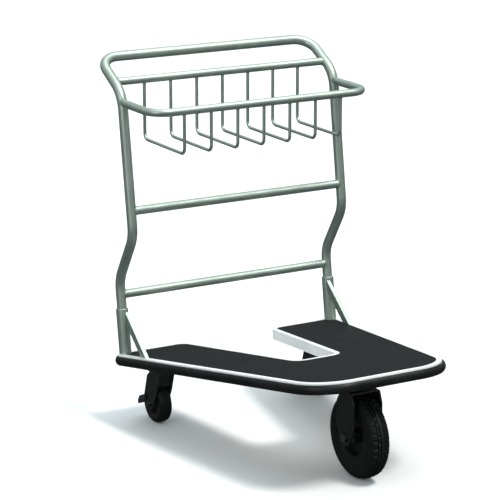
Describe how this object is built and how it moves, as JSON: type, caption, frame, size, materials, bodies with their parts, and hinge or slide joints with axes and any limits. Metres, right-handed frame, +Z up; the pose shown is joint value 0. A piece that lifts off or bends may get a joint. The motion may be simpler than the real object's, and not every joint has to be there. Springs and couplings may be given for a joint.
{
  "type": "hotel luggage cart",
  "caption": "Nesting hotel luggage cart: sloping notched deck on a large front caster and braked rear casters, bent tube push handle and a basket of hanger wires.",
  "frame": {"origin": "on the floor, under the middle of the whole cart", "axes": "+Z up, +Y towards the person who pushes, the nose and the big front caster towards -Y, +X to the pusher's left"},
  "size_m": [0.6784, 0.902, 0.9454],
  "materials": {
    "frame_steel": "satin drawn steel tube with a clear coat",
    "socket_steel": "satin steel sockets and braces",
    "deck_mat": "charcoal fine-grained non-slip mat",
    "edge_aluminium": "bright satin aluminium edging",
    "bumper": "black satin rubber",
    "board": "plywood core",
    "base_steel": "black powder coat",
    "caster_steel": "dark grey powder coat",
    "tyre": "black rubber",
    "rim": "black pressed rim",
    "pedal": "black moulded pedal",
    "fastener": "zinc plated"
  },
  "bodies": {
    "cart": {"base_frame": "base_steel", "brace_left": "socket_steel", "brace_right": "socket_steel", "caster_bolts": "fastener", "deck_board": "board", "deck_mat": "deck_mat", "deck_screws": "fastener", "edge_bumper": "bumper", "edge_trim": "edge_aluminium", "front_kingpin": "fastener", "front_mount": "base_steel", "front_plate": "caster_steel", "front_race_balls": "fastener", "front_rail": "frame_steel", "handle_frame": "frame_steel", "hanger_1": "frame_steel", "hanger_2": "frame_steel", "hanger_3": "frame_steel", "hanger_4": "frame_steel", "hanger_5": "frame_steel", "hanger_6": "frame_steel", "hanger_7": "frame_steel", "lower_bar": "frame_steel", "mid_bar": "frame_steel", "notch_trim": "edge_aluminium", "rear_left_kingpin": "fastener", "rear_left_mount": "base_steel", "rear_left_plate": "caster_steel", "rear_left_race_balls": "fastener", "rear_rail": "frame_steel", "rear_right_kingpin": "fastener", "rear_right_mount": "base_steel", "rear_right_plate": "caster_steel", "rear_right_race_balls": "fastener", "socket_left": "socket_steel", "socket_right": "socket_steel"},
    "front_swivel": {"front_axle_bolt": "fastener", "front_axle_nut": "fastener", "front_fork": "caster_steel", "front_spacers": "fastener"},
    "front_wheel": {"front_bearings": "fastener", "front_rim": "rim", "front_tyre": "tyre"},
    "rear_left_swivel": {"rear_left_axle_bolt": "fastener", "rear_left_axle_nut": "fastener", "rear_left_fork": "caster_steel", "rear_left_pedal_pins": "fastener"},
    "rear_left_wheel": {"rear_left_bearings": "fastener", "rear_left_rim": "rim", "rear_left_tyre": "tyre"},
    "rear_left_brake": {"rear_left_pedal": "pedal"},
    "rear_right_swivel": {"rear_right_axle_bolt": "fastener", "rear_right_axle_nut": "fastener", "rear_right_fork": "caster_steel", "rear_right_pedal_pins": "fastener"},
    "rear_right_wheel": {"rear_right_bearings": "fastener", "rear_right_rim": "rim", "rear_right_tyre": "tyre"},
    "rear_right_brake": {"rear_right_pedal": "pedal"}
  },
  "joints": [
    {"name": "front_swivel_turn", "type": "hinge", "parent": "cart", "child": "front_swivel", "pos_m": [0, -0.2935, 0.106], "axis": [0, 0, 1], "continuous": true},
    {"name": "front_wheel_spin", "type": "hinge", "parent": "front_swivel", "child": "front_wheel", "pos_m": [0, -0.3215, 0.106], "axis": [1, 0, 0], "continuous": true},
    {"name": "rear_left_swivel_turn", "type": "hinge", "parent": "cart", "child": "rear_left_swivel", "pos_m": [0.2367, 0.2485, 0.052], "axis": [0, 0, 1], "continuous": true},
    {"name": "rear_left_wheel_spin", "type": "hinge", "parent": "rear_left_swivel", "child": "rear_left_wheel", "pos_m": [0.2367, 0.2745, 0.052], "axis": [1, 0, 0], "continuous": true},
    {"name": "rear_left_brake_press", "type": "hinge", "parent": "rear_left_swivel", "child": "rear_left_brake", "pos_m": [0.2367, 0.3005, 0.062], "axis": [-1, 0, 0], "range_deg": [0, 10]},
    {"name": "rear_right_swivel_turn", "type": "hinge", "parent": "cart", "child": "rear_right_swivel", "pos_m": [-0.2367, 0.2485, 0.052], "axis": [0, 0, 1], "continuous": true},
    {"name": "rear_right_wheel_spin", "type": "hinge", "parent": "rear_right_swivel", "child": "rear_right_wheel", "pos_m": [-0.2367, 0.2745, 0.052], "axis": [1, 0, 0], "continuous": true},
    {"name": "rear_right_brake_press", "type": "hinge", "parent": "rear_right_swivel", "child": "rear_right_brake", "pos_m": [-0.2367, 0.3005, 0.062], "axis": [-1, 0, 0], "range_deg": [0, 10]}
  ]
}
